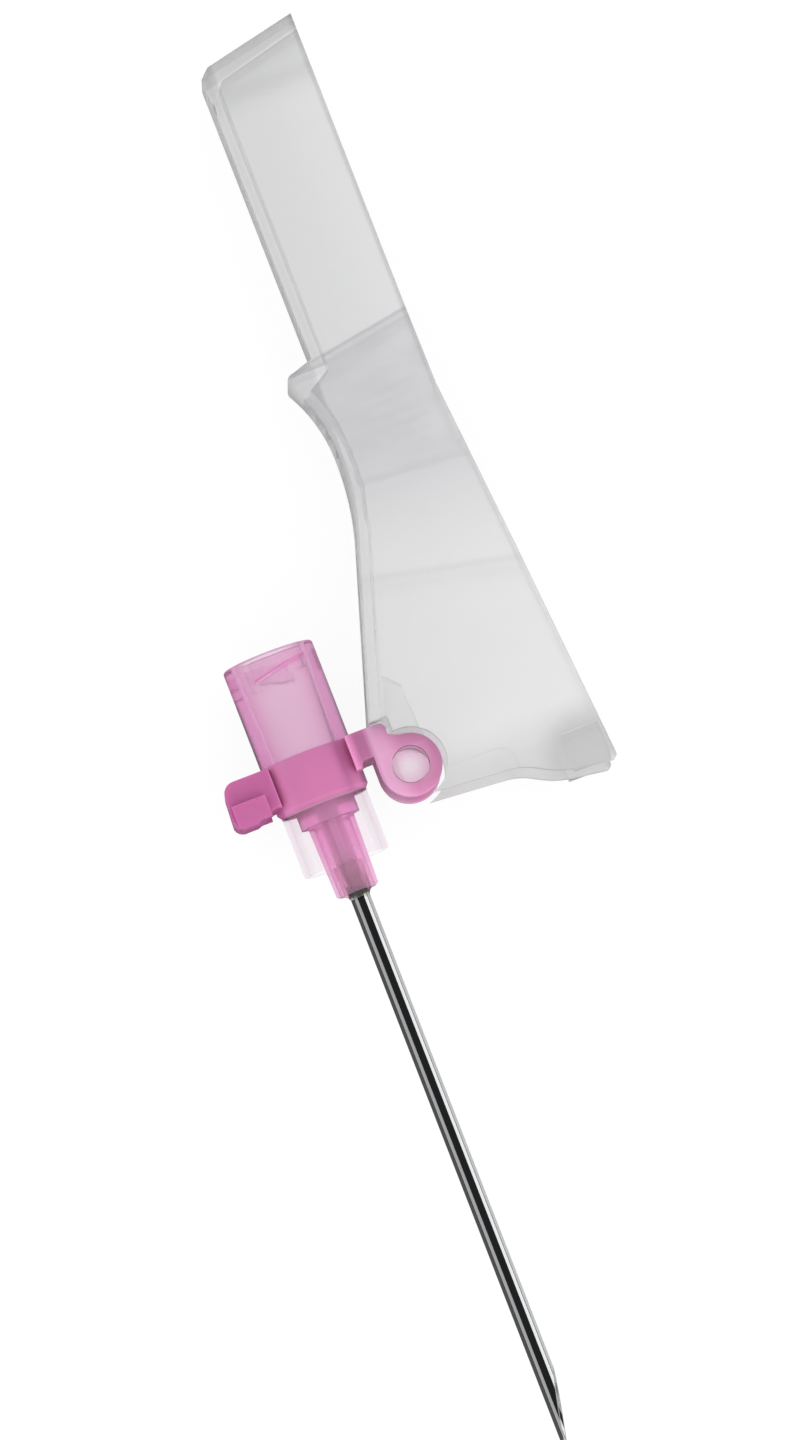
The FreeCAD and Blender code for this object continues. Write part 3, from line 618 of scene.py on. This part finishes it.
tree.links.new(place.outputs["Object"], along.inputs["Vector"])
tree.links.new(along.outputs["X"], end.inputs["Value"])
tree.links.new(along.outputs["X"], tip.inputs["Value"])
tree.links.new(end.outputs["Result"], ends.inputs[0])
tree.links.new(tip.outputs["Result"], tip_shade.inputs["Fac"])
tree.links.new(tip_shade.outputs["Color"], ends.inputs[1])
tree.links.new(place.outputs["Object"], level.inputs[0])
tree.links.new(level.outputs["Vector"], to_bar.inputs[0])
tree.links.new(to_bar.outputs["Value"], in_bar.inputs["Value"])
tree.links.new(in_bar.outputs["Result"], bar_painted_pink_light.inputs["Fac"])
tree.links.new(along.outputs["Z"], lower.inputs["Value"])
tree.links.new(ends.outputs["Value"], grey.inputs[0])
tree.links.new(lower.outputs["Result"], grey.inputs[1])
tree.links.new(along.outputs["Z"], level_off.inputs[0])
tree.links.new(level_off.outputs["Value"], between.inputs[0])
tree.links.new(to_bar.outputs["Value"], near.inputs[0])
tree.links.new(between.outputs["Value"], neck.inputs[0])
tree.links.new(near.outputs["Value"], neck.inputs[1])
tree.links.new(neck.outputs["Value"], through.inputs["Value"])
tree.links.new(through.outputs["Result"], shader.inputs["Transmission Weight"])
tree.links.new(along.outputs["X"], soft_tip.inputs["Value"])
tree.links.new(folds[0].outputs["Color"], creases.inputs[0])
tree.links.new(folds[1].outputs["Color"], creases.inputs[1])
tree.links.new(place.outputs["Object"], flow_place.inputs["Vector"])
tree.links.new(flow_place.outputs["Vector"], flow.inputs["Vector"])
tree.links.new(flow.outputs["Fac"], streak.inputs["Value"])
tree.links.new(along.outputs["X"], in_pad.inputs["Value"])
tree.links.new(step_line.outputs["Value"], before_fold.inputs[0])
tree.links.new(in_pad.outputs["Result"], off_end.inputs[0])
tree.links.new(before_fold.outputs["Value"], off_end.inputs[1])
tree.links.new(off_end.outputs["Value"], marks.inputs["Value"])
tree.links.new(marks.outputs["Result"], streak.inputs["To Max"])
tree.links.new(creases.outputs["Vector"], marked.inputs[0])
tree.links.new(streak.outputs["Result"], marked.inputs[1])
tree.links.new(place.outputs["Object"], from_end.inputs[0])
tree.links.new(from_end.outputs["Value"], end_wall.inputs["Value"])
tree.links.new(marked.outputs["Vector"], walled.inputs[0])
tree.links.new(end_wall.outputs["Result"], walled.inputs[1])
tree.links.new(step_shade_fade.outputs["Result"], moulded.inputs[0])
tree.links.new(along.outputs["X"], pad_along.inputs["Value"])
tree.links.new(pad_along.outputs["Result"], back_line.inputs["Fac"])
tree.links.new(back_line.outputs["Color"], back_out.inputs["Value"])
tree.links.new(along.outputs["Y"], inside.inputs[0])
tree.links.new(back_out.outputs["Result"], inside.inputs[1])
tree.links.new(inside.outputs["Value"], edge_on.inputs["Value"])
tree.links.new(along.outputs["X"], past_step.inputs[0])
tree.links.new(edge_on.outputs["Result"], no_strip.inputs[0])
tree.links.new(past_step.outputs["Value"], no_strip.inputs[1])
tree.links.new(walled.outputs["Vector"], strip.inputs[0])
tree.links.new(no_strip.outputs["Value"], strip.inputs[1])
tree.links.new(strip.outputs["Vector"], moulded.inputs[1])
tree.links.new(moulded.outputs["Vector"], shaded.inputs[0])
tree.links.new(level.outputs["Vector"], to_catch.inputs[0])
tree.links.new(to_catch.outputs["Value"], at_catch.inputs["Value"])
tree.links.new(along.outputs["X"], flare.inputs[0])
tree.links.new(flare.outputs["Value"], spread.inputs[0])
tree.links.new(spread.outputs["Value"], from_mouth.inputs[0])
tree.links.new(along.outputs["Y"], from_mouth.inputs[2])
tree.links.new(from_mouth.outputs["Value"], rim.inputs["Value"])
tree.links.new(along.outputs["Y"], back.inputs["Value"])
tree.links.new(along.outputs["X"], in_narrow.inputs[0])
tree.links.new(back.outputs["Result"], back_wall.inputs[0])
tree.links.new(in_narrow.outputs["Value"], back_wall.inputs[1])
tree.links.new(back_wall.outputs["Value"], back_shade.inputs["Value"])
tree.links.new(grey.outputs["Value"], catch_shade.inputs[0])
tree.links.new(at_catch.outputs["Result"], catch_shade.inputs[1])
tree.links.new(catch_shade.outputs["Value"], rim_shade.inputs[0])
tree.links.new(rim.outputs["Result"], rim_shade.inputs[1])
tree.links.new(rim_shade.outputs["Value"], back_and_rim_shade.inputs[0])
tree.links.new(back_shade.outputs["Result"], back_and_rim_shade.inputs[1])
tree.links.new(back_and_rim_shade.outputs["Value"], shaded.inputs[1])
tree.links.new(shaded.outputs["Vector"], with_painted_pink_light.inputs[0])
tree.links.new(bar_painted_pink_light.outputs["Color"], with_painted_pink_light.inputs[1])
tree.links.new(with_painted_pink_light.outputs["Vector"], core.inputs["A"])
tree.links.new(neck.outputs["Value"], core.inputs["Factor"])
tree.links.new(core.outputs["Result"], painted_edge_shade.inputs["A"])
tree.links.new(facing.outputs["Facing"], edge.inputs[0])
tree.links.new(along.outputs["Y"], soft_back.inputs["Value"])
tree.links.new(soft_tip.outputs["Result"], soft.inputs[0])
tree.links.new(soft_back.outputs["Result"], soft.inputs[1])
tree.links.new(soft.outputs["Value"], edge.inputs[1])
tree.links.new(neck.outputs["Value"], off_neck.inputs[1])
tree.links.new(edge.outputs["Value"], edge_off_neck.inputs[0])
tree.links.new(off_neck.outputs["Value"], edge_off_neck.inputs[1])
tree.links.new(edge_off_neck.outputs["Value"], painted_edge_shade.inputs["Factor"])
tree.links.new(painted_edge_shade.outputs["Result"], shader.inputs["Base Color"])
tree.links.new(depth.outputs["Volume"], tree.nodes["Material Output"].inputs["Volume"])

bpy.ops.object.select_all(action="DESELECT")
shield = nodes["shield"].copy()
shield.data = nodes["shield"].data.copy()
shield.name = "shield_moulding"
bpy.context.scene.collection.objects.link(shield)
shield.select_set(True)
bpy.context.view_layer.objects.active = shield
bpy.ops.object.mode_set(mode="EDIT")
bpy.ops.mesh.select_all(action="SELECT")
bpy.ops.mesh.remove_doubles(threshold=0.000001)
bpy.ops.mesh.dissolve_limited(angle_limit=math.radians(0.6))
bpy.ops.mesh.normals_make_consistent(inside=False)
bpy.ops.object.mode_set(mode="OBJECT")
tip_step_at = -0.03395
tip_step_run = 0.0008
for vertex in shield.data.vertices:
    if abs(vertex.co.x - tip_step_at) < 0.00003:
        vertex.co.x += tip_step_run
rounding = shield.modifiers.new("edge rounding", "BEVEL")
rounding.width = 0.00012
rounding.segments = 2
rounding.limit_method = "ANGLE"
rounding.angle_limit = math.radians(32)
bpy.ops.object.modifier_apply(modifier="edge rounding")
bpy.ops.object.shade_smooth_by_angle(angle=math.radians(35))
bpy.ops.object.mode_set(mode="EDIT")
bpy.ops.mesh.select_mode(type="EDGE")
bpy.ops.mesh.select_all(action="DESELECT")
bpy.ops.object.mode_set(mode="OBJECT")
shortest_fold = 0.004
least_slant = 0.1
off_middle = 0.0015
last_fold_at = 0.003
for edge in shield.data.edges:
    low, high = (shield.data.vertices[index].co for index in edge.vertices)
    run = high - low
    slanting = abs(run.y) > shortest_fold and abs(run.x) > least_slant * abs(run.y)
    edge.select = slanting and abs(low.z) > off_middle and low.x < last_fold_at
bpy.ops.object.mode_set(mode="EDIT")
bpy.ops.mesh.mark_sharp()
bpy.ops.object.mode_set(mode="OBJECT")
shield.data.materials.clear()
shield.data.materials.append(milky)
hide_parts("shield")
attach(shield, "shield")


# Adhesive
# Clear epoxy let into the well in the hub's nose, drawn up round the tube before it was cured.
# It is glossy and a little yellow.
epoxy = bpy.data.materials.new("epoxy")
epoxy.use_nodes = True
tree = epoxy.node_tree
shader = tree.nodes["Principled BSDF"]
shader.inputs["Base Color"].default_value = (0.97, 0.93, 0.86, 1.0)
shader.inputs["IOR"].default_value = 1.1
shader.inputs["Roughness"].default_value = 0.06
shader.inputs["Transmission Weight"].default_value = 0.95
bpy.ops.object.select_all(action="DESELECT")
bead = nodes["adhesive_bead"].copy()
bead.data = nodes["adhesive_bead"].data.copy()
bead.name = "adhesive_drop"
bpy.context.scene.collection.objects.link(bead)
bead.select_set(True)
bpy.context.view_layer.objects.active = bead
bpy.ops.object.mode_set(mode="EDIT")
bpy.ops.mesh.select_all(action="SELECT")
bpy.ops.mesh.remove_doubles(threshold=0.000001)
bpy.ops.mesh.normals_make_consistent(inside=False)
bpy.ops.transform.shrink_fatten(value=-0.00002)
bpy.ops.object.mode_set(mode="OBJECT")
bpy.ops.object.shade_smooth_by_angle(angle=math.radians(28))
bead.data.materials.clear()
bead.data.materials.append(epoxy)
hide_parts("adhesive_bead")
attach(bead, "needle")


# Cannula
# Stainless steel tube, drawn and polished, with the faint lines of drawing along it. It is bored through
# and ground to a bevel with two lancet cuts, which carry the lines of the wheel. The length bonded in
# the hub is grit-blasted, so it is dull; there it is also made less metallic and painted pink, as
# painted light for the pink it takes on in the clear nose.
steel = bpy.data.materials.new("cannula steel")
steel.use_nodes = True
tree = steel.node_tree
shader = tree.nodes["Principled BSDF"]
place = tree.nodes.new("ShaderNodeTexCoord")
along = tree.nodes.new("ShaderNodeSeparateXYZ")
bonded = tree.nodes.new("ShaderNodeMapRange")
bonded.inputs["From Min"].default_value = 0.0157
bonded.inputs["From Max"].default_value = 0.0160
bonded.inputs["To Min"].default_value = 1.0
bonded.inputs["To Max"].default_value = 0.0
blasted = tree.nodes.new("ShaderNodeMix")
blasted.inputs["B"].default_value = 0.6
# painted light: the bonded length is given pink for the pink light it takes on inside the hub
steel_and_painted_pink = tree.nodes.new("ShaderNodeMix")
steel_and_painted_pink.data_type = "RGBA"
steel_and_painted_pink.inputs["A"].default_value = (0.74, 0.75, 0.76, 1.0)
steel_and_painted_pink.inputs["B"].default_value = (0.95, 0.70, 0.84, 1.0)
bare = tree.nodes.new("ShaderNodeMapRange")
bare.inputs["To Min"].default_value = 1.0
bare.inputs["To Max"].default_value = 0.35
stretch = tree.nodes.new("ShaderNodeMapping")
stretch.inputs["Scale"].default_value = (60.0, 9000.0, 9000.0)
lines = tree.nodes.new("ShaderNodeTexNoise")
lines.inputs["Scale"].default_value = 1.0
lines.inputs["Detail"].default_value = 3.0
rough = tree.nodes.new("ShaderNodeMapRange")
rough.inputs["From Min"].default_value = 0.3
rough.inputs["From Max"].default_value = 0.7
rough.inputs["To Min"].default_value = 0.05
rough.inputs["To Max"].default_value = 0.10
tree.links.new(place.outputs["Object"], stretch.inputs["Vector"])
tree.links.new(stretch.outputs["Vector"], lines.inputs["Vector"])
tree.links.new(lines.outputs["Fac"], rough.inputs["Value"])
tree.links.new(place.outputs["Object"], along.inputs["Vector"])
tree.links.new(along.outputs["X"], bonded.inputs["Value"])
tree.links.new(bonded.outputs["Result"], blasted.inputs["Factor"])
tree.links.new(rough.outputs["Result"], blasted.inputs["A"])
tree.links.new(blasted.outputs["Result"], shader.inputs["Roughness"])
tree.links.new(bonded.outputs["Result"], steel_and_painted_pink.inputs["Factor"])
tree.links.new(steel_and_painted_pink.outputs["Result"], shader.inputs["Base Color"])
tree.links.new(bonded.outputs["Result"], bare.inputs["Value"])
tree.links.new(bare.outputs["Result"], shader.inputs["Metallic"])
ground = bpy.data.materials.new("ground steel")
ground.use_nodes = True
tree = ground.node_tree
shader = tree.nodes["Principled BSDF"]
shader.inputs["Base Color"].default_value = (0.55, 0.56, 0.57, 1.0)
shader.inputs["Metallic"].default_value = 1.0
place = tree.nodes.new("ShaderNodeTexCoord")
stretch = tree.nodes.new("ShaderNodeMapping")
stretch.inputs["Scale"].default_value = (30000.0, 900.0, 900.0)
lines = tree.nodes.new("ShaderNodeTexNoise")
lines.inputs["Scale"].default_value = 1.0
lines.inputs["Detail"].default_value = 3.0
rough = tree.nodes.new("ShaderNodeMapRange")
rough.inputs["To Min"].default_value = 0.28
rough.inputs["To Max"].default_value = 0.44
bump = tree.nodes.new("ShaderNodeBump")
bump.inputs["Strength"].default_value = 0.35
bump.inputs["Distance"].default_value = 0.00001
tree.links.new(place.outputs["Object"], stretch.inputs["Vector"])
tree.links.new(stretch.outputs["Vector"], lines.inputs["Vector"])
tree.links.new(lines.outputs["Fac"], rough.inputs["Value"])
tree.links.new(lines.outputs["Fac"], bump.inputs["Height"])
tree.links.new(rough.outputs["Result"], shader.inputs["Roughness"])
tree.links.new(bump.outputs["Normal"], shader.inputs["Normal"])

tube_radius = 0.000635
bore_radius = 0.00042
tube_length = 0.0445
tube_middle = (0.03185, 0, 0)
point_at = 0.0541
along_x = (0, math.pi / 2, 0)
bpy.ops.object.select_all(action="DESELECT")
bpy.ops.mesh.primitive_cylinder_add(
    vertices=96, radius=tube_radius, depth=tube_length, location=tube_middle, rotation=along_x
)
tube = bpy.context.object
tube.name = "cannula_tube"
bpy.ops.object.transform_apply(location=True, rotation=True, scale=True)
bpy.ops.object.mode_set(mode="EDIT")
for turn, low, rise, run in (
    (13, tube_radius, 1.27, 5.9), (51, 0.000575, 1.51, 2.9), (-25, 0.000575, 1.51, 2.9)
):
    turn_y = math.cos(math.radians(turn))
    turn_z = math.sin(math.radians(turn))
    bpy.ops.mesh.select_all(action="SELECT")
    bpy.ops.mesh.bisect(
        plane_co=(point_at, -low * turn_y, -low * turn_z),
        plane_no=Vector((rise, run * turn_y, run * turn_z)).normalized(),
        use_fill=True,
        clear_outer=True,
        threshold=0.0000001,
    )
bpy.ops.object.mode_set(mode="OBJECT")
bpy.ops.object.select_all(action="DESELECT")
bpy.ops.mesh.primitive_cylinder_add(
    vertices=64, radius=bore_radius, depth=0.0465, location=tube_middle, rotation=along_x
)
bore = bpy.context.object
bpy.ops.object.transform_apply(location=True, rotation=True, scale=True)
bpy.context.view_layer.objects.active = tube
opening = tube.modifiers.new("bore", "BOOLEAN")
opening.operation = "DIFFERENCE"
opening.solver = "EXACT"
opening.object = bore
bpy.ops.object.modifier_apply(modifier="bore")
bpy.ops.object.delete()
tube.select_set(True)
bpy.context.view_layer.objects.active = tube
bpy.ops.object.shade_smooth_by_angle(angle=math.radians(28))
tube.data.materials.clear()
tube.data.materials.append(steel)
tube.data.materials.append(ground)
for face in tube.data.polygons:
    face.material_index = 1 if 0.03 < face.normal.x < 0.9 else 0
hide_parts("cannula")
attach(tube, "needle")


# Floor
# Plain white paper just under the shield. It shows white behind the needle, straight or through the
# plastic. What it shows in reflections is painted shade: near black on the -Y side, mid grey on the
# other.
bpy.ops.object.select_all(action="DESELECT")
bpy.ops.mesh.primitive_plane_add(size=6.0, location=(0.0, 0.0, -0.0042))
floor = bpy.context.object
floor.name = "floor"
paper = bpy.data.materials.new("pale floor")
paper.use_nodes = True
tree = paper.node_tree
shader = tree.nodes["Principled BSDF"]
shader.inputs["Roughness"].default_value = 0.9
glow = tree.nodes.new("ShaderNodeEmission")
glow.inputs["Strength"].default_value = 1.02
rays = tree.nodes.new("ShaderNodeLightPath")
seen = tree.nodes.new("ShaderNodeMath")
seen.operation = "MAXIMUM"
share = tree.nodes.new("ShaderNodeMath")
share.operation = "MULTIPLY"
share.inputs[1].default_value = 0.9
place = tree.nodes.new("ShaderNodeTexCoord")
sides = tree.nodes.new("ShaderNodeSeparateXYZ")
# painted shade for reflections: near black on the -Y side, rising to mid grey on the +Y side
painted_reflection_shade = tree.nodes.new("ShaderNodeMapRange")
painted_reflection_shade.inputs["From Min"].default_value = -0.002
painted_reflection_shade.inputs["From Max"].default_value = 0.002
painted_reflection_shade.inputs["To Min"].default_value = 0.06
painted_reflection_shade.inputs["To Max"].default_value = 0.5
mirrored = tree.nodes.new("ShaderNodeMix")
mirrored.inputs["A"].default_value = 0.80
mix = tree.nodes.new("ShaderNodeMixShader")
tree.links.new(rays.outputs["Is Camera Ray"], seen.inputs[0])
tree.links.new(rays.outputs["Is Transmission Ray"], seen.inputs[1])
tree.links.new(seen.outputs["Value"], share.inputs[0])
tree.links.new(share.outputs["Value"], mix.inputs["Fac"])
tree.links.new(place.outputs["Object"], sides.inputs["Vector"])
tree.links.new(sides.outputs["Y"], painted_reflection_shade.inputs["Value"])
tree.links.new(rays.outputs["Is Glossy Ray"], mirrored.inputs["Factor"])
tree.links.new(painted_reflection_shade.outputs["Result"], mirrored.inputs["B"])
tree.links.new(mirrored.outputs["Result"], shader.inputs["Base Color"])
tree.links.new(shader.outputs["BSDF"], mix.inputs[1])
tree.links.new(glow.outputs["Emission"], mix.inputs[2])
tree.links.new(mix.outputs["Shader"], tree.nodes["Material Output"].inputs["Surface"])
floor.data.materials.append(paper)


# Light
# An even white room that is dark in reflections, and three soft panels: one on each side of the needle,
# which give the tube its two light stripes and the dark one between, and a weaker one past its point.
world = bpy.data.worlds.new("studio")
bpy.context.scene.world = world
world.use_nodes = True
tree = world.node_tree
rays = tree.nodes.new("ShaderNodeLightPath")
fill = tree.nodes.new("ShaderNodeMix")
fill.data_type = "RGBA"
fill.inputs["A"].default_value = (1.12, 1.12, 1.12, 1.0)
fill.inputs["B"].default_value = (0.02, 0.02, 0.02, 1.0)
tree.links.new(rays.outputs["Is Glossy Ray"], fill.inputs["Factor"])
tree.links.new(fill.outputs["Result"], tree.nodes["Background"].inputs["Color"])

lean = math.radians(21.2)
right = Vector((math.sin(lean), math.cos(lean), 0.0))
up = Vector((-math.cos(lean), math.sin(lean), 0.0))
centre = Vector((0.00687, 0.00657, 0.0))
for name, toward, side, wide, long, power in (
    ("left panel", -right * 0.606 + Vector((0.0, 0.0, 0.35)), up, 0.54, 1.6, 1.3),
    ("right panel", right * 0.606 + Vector((0.0, 0.0, 0.35)), up, 0.54, 1.6, 3.0),
    ("low panel", -up * 0.54 + Vector((0.0, 0.0, 0.45)), right, 0.4, 0.8, 0.8),
):
    lamp = bpy.data.lights.new(name, "AREA")
    lamp.shape = "RECTANGLE"
    lamp.size = wide
    lamp.size_y = long
    lamp.energy = power
    panel = bpy.data.objects.new(name, lamp)
    bpy.context.scene.collection.objects.link(panel)
    back = toward.normalized()
    across = side.cross(back).normalized()
    turned = Matrix((across, side, back)).transposed().to_4x4()
    panel.matrix_world = Matrix.Translation(centre + toward) @ turned


# Camera
# Straight above the needle as it lies, turned so that the tube runs down and to the right,
# and leaning a little towards the point and the barrel's side, as in the photograph.
distance = 0.42
height_in_picture = 0.0911
back = Vector((0.085, -0.05, 1.0)).normalized()
across = up.cross(back).normalized()
upright = back.cross(across).normalized()
camera_data = bpy.data.cameras.new("camera")
camera_data.sensor_fit = "VERTICAL"
camera_data.sensor_height = 24.0
camera_data.lens = camera_data.sensor_height * distance / height_in_picture
camera_data.clip_start = 0.01
camera = bpy.data.objects.new("camera", camera_data)
bpy.context.scene.collection.objects.link(camera)
turned = Matrix((across, upright, back)).transposed().to_4x4()
camera.matrix_world = Matrix.Translation(centre + back * distance) @ turned
bpy.context.scene.camera = camera
bpy.context.scene.view_settings.view_transform = "Standard"
